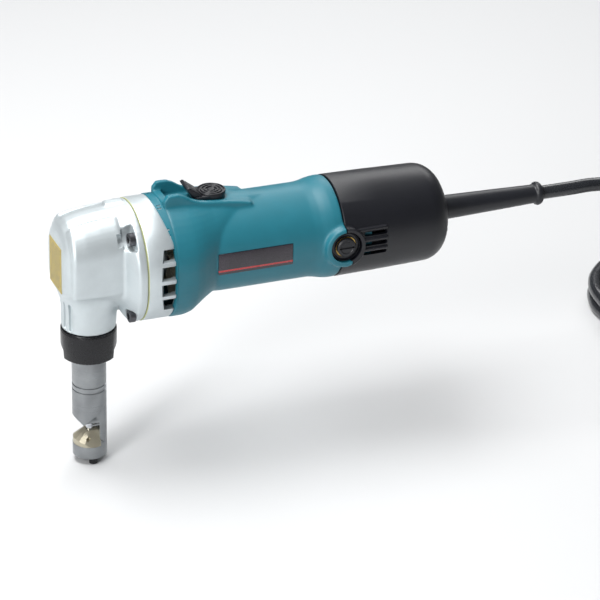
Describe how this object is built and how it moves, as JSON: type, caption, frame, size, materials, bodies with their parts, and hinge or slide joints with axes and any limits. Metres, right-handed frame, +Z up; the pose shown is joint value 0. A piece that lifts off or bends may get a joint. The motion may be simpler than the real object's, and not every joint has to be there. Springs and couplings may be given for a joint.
{
  "type": "sheet metal nibbler",
  "caption": "Corded hand nibbler: motor in a round grip, crank gear head, reciprocating punch and a turning tubular die holder.",
  "frame": {"origin": "centre of the hand grip, on the motor axis", "axes": "+X along the motor axis towards the cord, +Z up, the punch and die pointing down at -X"},
  "size_m": [0.564, 0.2461, 0.1861],
  "materials": {
    "cast_aluminium": "fine satin sand-cast, clear lacquered",
    "yellow_sticker": "satin film sticker",
    "gasket_paper": "matt fibre",
    "screw_steel": "dark phosphated steel",
    "bronze": "turned",
    "bearing_steel": "ground and polished",
    "teal_plastic": "fine satin moulded nylon",
    "core_steel": "stacked laminations",
    "copper": "enamelled wire",
    "zinc_plate": "zinc plated",
    "black_rubber": "smooth satin rubber",
    "black_plastic": "fine satin moulded nylon",
    "brass": "drawn",
    "carbon": "pressed carbon",
    "spring_steel": "bright wire",
    "nameplate_enamel": "gloss film",
    "ivory_plastic": "moulded",
    "machined_steel": "turned and ground",
    "tool_steel": "ground tool steel",
    "black_oxide": "black oxide, satin"
  },
  "bodies": {
    "tool_body": {"gear_housing": "cast_aluminium", "front_label": "yellow_sticker", "housing_gasket": "gasket_paper", "bearing_box": "cast_aluminium", "housing_screws": "screw_steel", "guide_bush": "bronze", "crank_front_bearing": "bearing_steel", "crank_rear_bearing": "bearing_steel", "motor_housing": "teal_plastic", "field_core": "core_steel", "field_coils": "copper", "armature_front_bearing": "bearing_steel", "bearing_retainer": "zinc_plate", "retainer_screws": "screw_steel", "armature_rear_bearing": "bearing_steel", "rear_bearing_sleeve": "black_rubber", "fan_baffle": "black_plastic", "brush_holders": "black_plastic", "brush_guides": "brass", "carbon_brushes": "carbon", "brush_springs": "spring_steel", "brush_caps": "black_plastic", "nameplate": "nameplate_enamel", "switch_block": "black_plastic", "terminal_block": "ivory_plastic", "rear_cover": "black_plastic", "rear_cover_screws": "screw_steel", "cord_clamp": "black_plastic", "cord_clamp_screws": "screw_steel", "cord_guard": "black_rubber", "cord_tail": "black_rubber", "supply_cord": "black_rubber", "cord_coil": "black_rubber", "coil_tie": "black_plastic", "plug_tail": "black_rubber", "plug_body": "black_plastic", "plug_pins": "brass"},
    "armature": {"armature_shaft": "machined_steel", "motor_pinion": "machined_steel", "armature_core": "core_steel", "armature_winding": "copper", "commutator": "copper", "cooling_fan": "ivory_plastic"},
    "crank": {"crankshaft": "machined_steel", "drive_gear": "machined_steel"},
    "rod": {"connecting_rod": "machined_steel", "rod_needle_bearing": "bearing_steel", "wrist_pin": "bearing_steel"},
    "punch_slider": {"punch_holder": "machined_steel", "punch": "tool_steel", "punch_set_screw": "screw_steel"},
    "nose": {"die_holder": "machined_steel", "die": "tool_steel", "die_screws": "black_oxide"},
    "nut_washer": {"thrust_washer": "zinc_plate"},
    "lock_nut": {"lock_nut": "black_oxide"},
    "switch_slider": {"switch_rod": "black_plastic", "lever_pin": "bearing_steel"},
    "switch_lever": {"switch_lever": "black_plastic"}
  },
  "joints": [
    {"name": "armature_spin", "type": "hinge", "parent": "tool_body", "child": "armature", "pos_m": [0, 0, 0], "axis": [1, 0, 0], "continuous": true},
    {"name": "crank_spin", "type": "hinge", "parent": "tool_body", "child": "crank", "pos_m": [-0.112, 0, 0.0168], "axis": [1, 0, 0], "continuous": true},
    {"name": "rod_swing", "type": "hinge", "parent": "crank", "child": "rod", "pos_m": [-0.112, 0, 0.0198], "axis": [1, 0, 0], "continuous": true},
    {"name": "punch_slide", "type": "slide", "parent": "tool_body", "child": "punch_slider", "axis": [0, 0, 1], "range_m": [-0.006, 0]},
    {"name": "die_holder_turn", "type": "hinge", "parent": "tool_body", "child": "nose", "pos_m": [-0.112, 0, -0.1], "axis": [0, 0, 1], "continuous": true},
    {"name": "nut_travel", "type": "slide", "parent": "tool_body", "child": "nut_washer", "axis": [0, 0, 1], "range_m": [-0.0015, 0]},
    {"name": "lock_nut_turn", "type": "hinge", "parent": "nut_washer", "child": "lock_nut", "pos_m": [-0.112, 0, -0.055], "axis": [0, 0, 1], "range_deg": [-360, 0]},
    {"name": "switch_slide", "type": "slide", "parent": "tool_body", "child": "switch_slider", "axis": [-1, 0, 0], "range_m": [0, 0.006]},
    {"name": "switch_rock", "type": "hinge", "parent": "switch_slider", "child": "switch_lever", "pos_m": [-0.036, 0, 0.0354], "axis": [0, 1, 0], "range_deg": [-3, 3]}
  ],
  "couplings": [
    {"joint": "crank_spin", "follows": "armature_spin", "ratio": -0.14286},
    {"joint": "rod_swing", "follows": "armature_spin", "ratio": 0.14286},
    {"joint": "nut_travel", "follows": "lock_nut_turn", "m_per_rad": 0.00023873}
  ]
}
